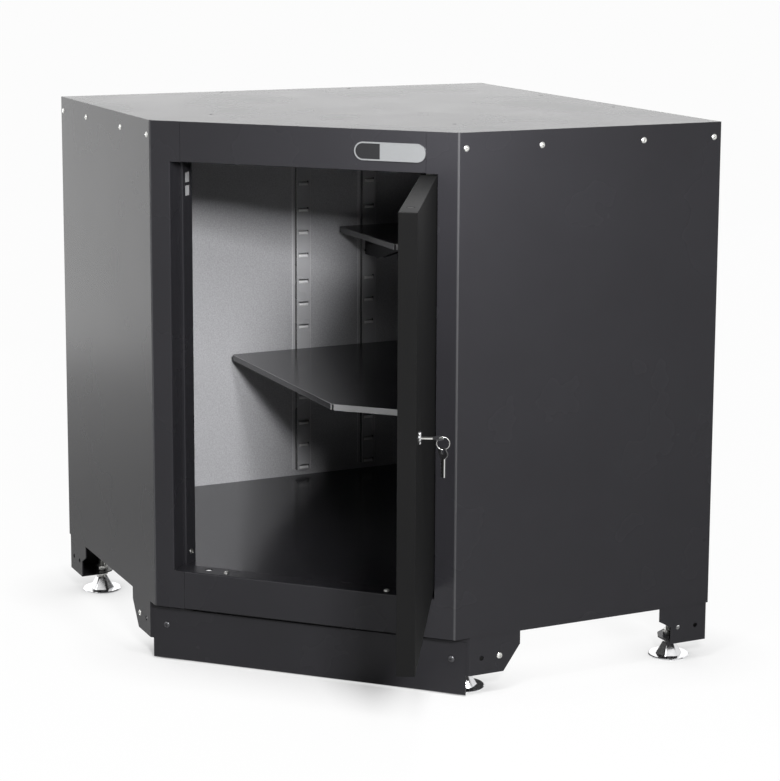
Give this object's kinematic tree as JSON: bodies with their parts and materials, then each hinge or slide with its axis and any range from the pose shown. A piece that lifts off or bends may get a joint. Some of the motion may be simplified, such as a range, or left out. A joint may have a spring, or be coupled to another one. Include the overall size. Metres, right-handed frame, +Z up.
{
  "type": "corner cabinet",
  "caption": "Dark steel corner base cabinet on levelling feet: hinged front door with rod lock and key, wing walls, angled shelves on slotted standards and a plinth.",
  "frame": {"origin": "floor point under the middle of the box round the cabinet with its door open", "axes": "+Z up, +X to the right seen from the front, +Y to the rear corner"},
  "size_m": [1.2002, 1.3424, 0.91],
  "materials": {
    "paint": "satin anthracite powder coat",
    "door_paint": "satin near-black powder coat",
    "zinc": "bright zinc plate",
    "chrome": "polished plate",
    "badge": "satin blank plate",
    "bush": "natural nylon"
  },
  "bodies": {
    "cabinet": {"right_side_panel": "paint", "left_side_panel": "paint", "front_header": "paint", "front_sill": "paint", "right_back_panel": "paint", "left_back_panel": "paint", "top_panel": "paint", "floor_panel": "paint", "right_jamb_post": "paint", "left_jamb_post": "paint", "right_outer_standard": "paint", "left_outer_standard": "paint", "right_inner_standard": "paint", "left_inner_standard": "paint", "middle_shelf": "paint", "upper_shelf": "paint", "middle_shelf_arms": "paint", "upper_shelf_arms": "paint", "plinth": "paint", "front_right_bracket": "paint", "front_left_bracket": "paint", "back_right_bracket": "paint", "back_left_bracket": "paint", "rear_corner_bracket": "paint", "hinge_pins": "zinc", "levelling_feet": "chrome", "badge_plate": "badge"},
    "door": {"door_skin": "door_paint", "door_liner": "door_paint", "hinge_bushes": "bush", "lock_body": "chrome"},
    "lock": {"lock_plug": "chrome", "lock_crank": "zinc", "door_key": "zinc"},
    "upper_rod": {"upper_lock_rod": "zinc"},
    "lower_rod": {"lower_lock_rod": "zinc"},
    "keys": {"key_ring": "zinc", "spare_key": "zinc"}
  },
  "joints": [
    {"name": "door_swing", "type": "hinge", "parent": "cabinet", "child": "door", "pos_m": [0.21104, -0.24646, 0.51], "axis": [0, 0, 1], "range_deg": [-105, 0]},
    {"name": "lock_turn", "type": "hinge", "parent": "door", "child": "lock", "pos_m": [0.32063, -0.6168, 0.514], "axis": [0.9659, 0.2588, 0], "range_deg": [0, 90]},
    {"name": "upper_rod_slide", "type": "slide", "parent": "door", "child": "upper_rod", "axis": [0, 0, 1], "range_m": [0, 0.024]},
    {"name": "lower_rod_slide", "type": "slide", "parent": "door", "child": "lower_rod", "axis": [0, 0, -1], "range_m": [0, 0.024]},
    {"name": "key_ring_swing", "type": "hinge", "parent": "lock", "child": "keys", "pos_m": [0.35366, -0.60795, 0.515], "axis": [0.9659, 0.2588, 0], "range_deg": [-40, 40]}
  ],
  "couplings": [
    {"joint": "lock_turn", "follows": "upper_rod_slide", "rad_per_m": 65.449},
    {"joint": "lower_rod_slide", "follows": "upper_rod_slide", "ratio": 1}
  ]
}
